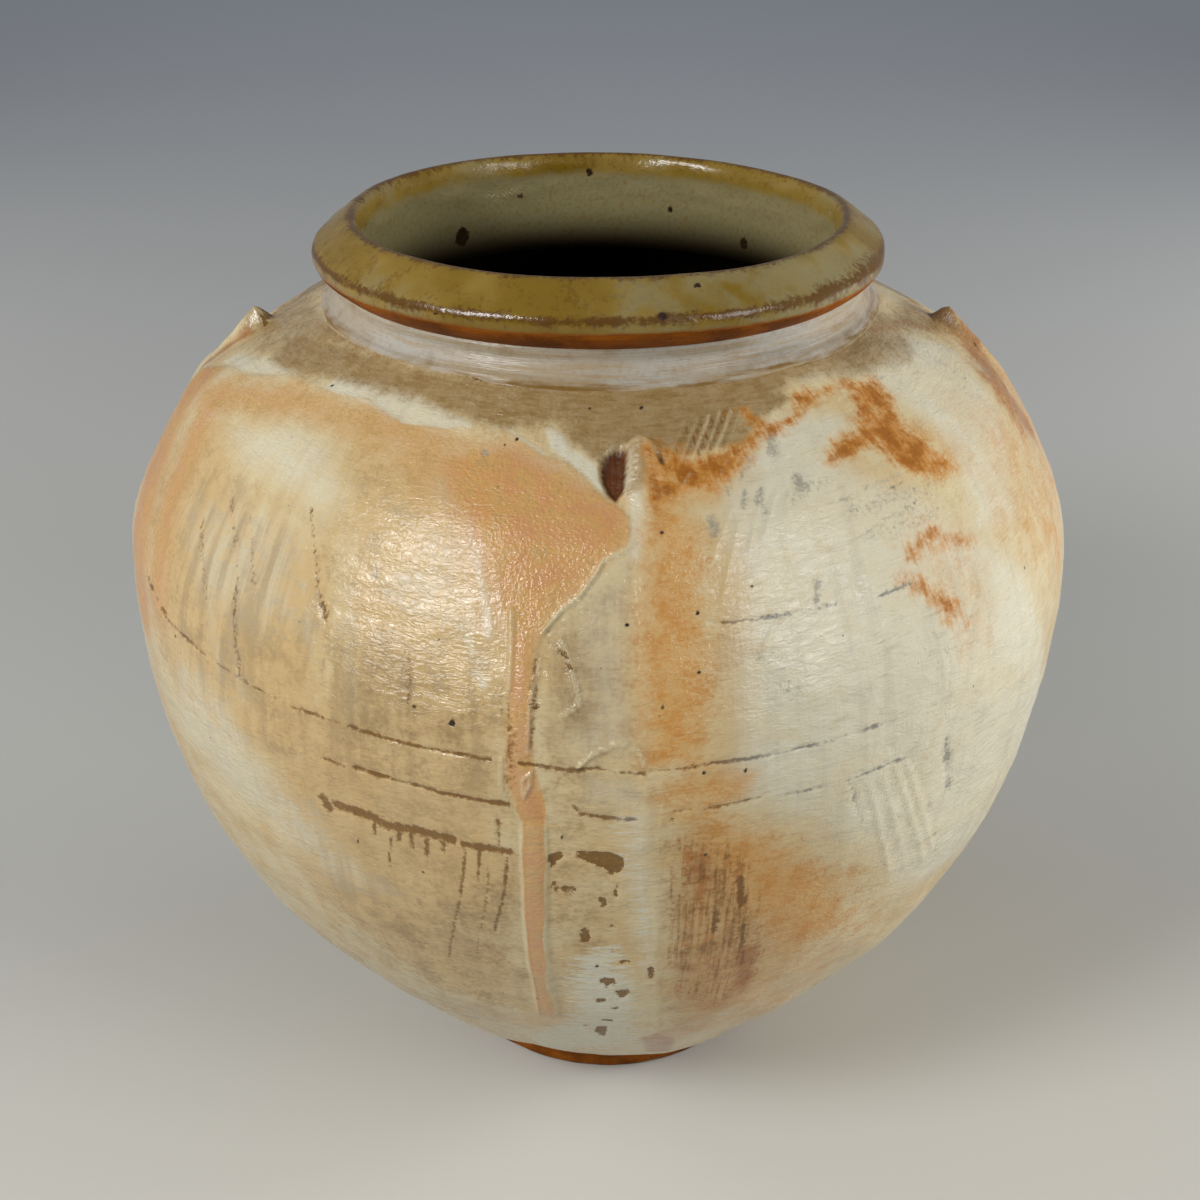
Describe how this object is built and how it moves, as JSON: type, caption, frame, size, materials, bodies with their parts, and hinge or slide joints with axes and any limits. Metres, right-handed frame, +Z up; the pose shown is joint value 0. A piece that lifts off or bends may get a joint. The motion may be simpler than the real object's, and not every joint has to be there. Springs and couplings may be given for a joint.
{
  "type": "moon jar",
  "caption": "Stoneware moon jar: a round swelling body on a small foot ring, with a wide mouth, a thick everted rim and pinched ribs on the shoulder.",
  "frame": {"origin": "centre of the foot ring on the surface the jar stands on", "axes": "+Z up along the axis of the jar, -Y towards the front, where one crease and its rib lie, +X to the right seen from the front"},
  "size_m": [0.2644, 0.2644, 0.2515],
  "materials": {
    "body_glaze": "satin",
    "rim_glaze": "glossy",
    "white_slip": "satin",
    "bare_clay": "matte"
  },
  "bodies": {
    "root": {"foot_ring": "bare_clay", "lower_bowl": "body_glaze", "belly_seam": "body_glaze", "upper_bowl": "body_glaze", "neck": "white_slip", "rim": "rim_glaze", "front_rib": "body_glaze", "right_rib": "body_glaze", "back_rib": "body_glaze", "left_rib": "body_glaze"}
  },
  "joints": []
}
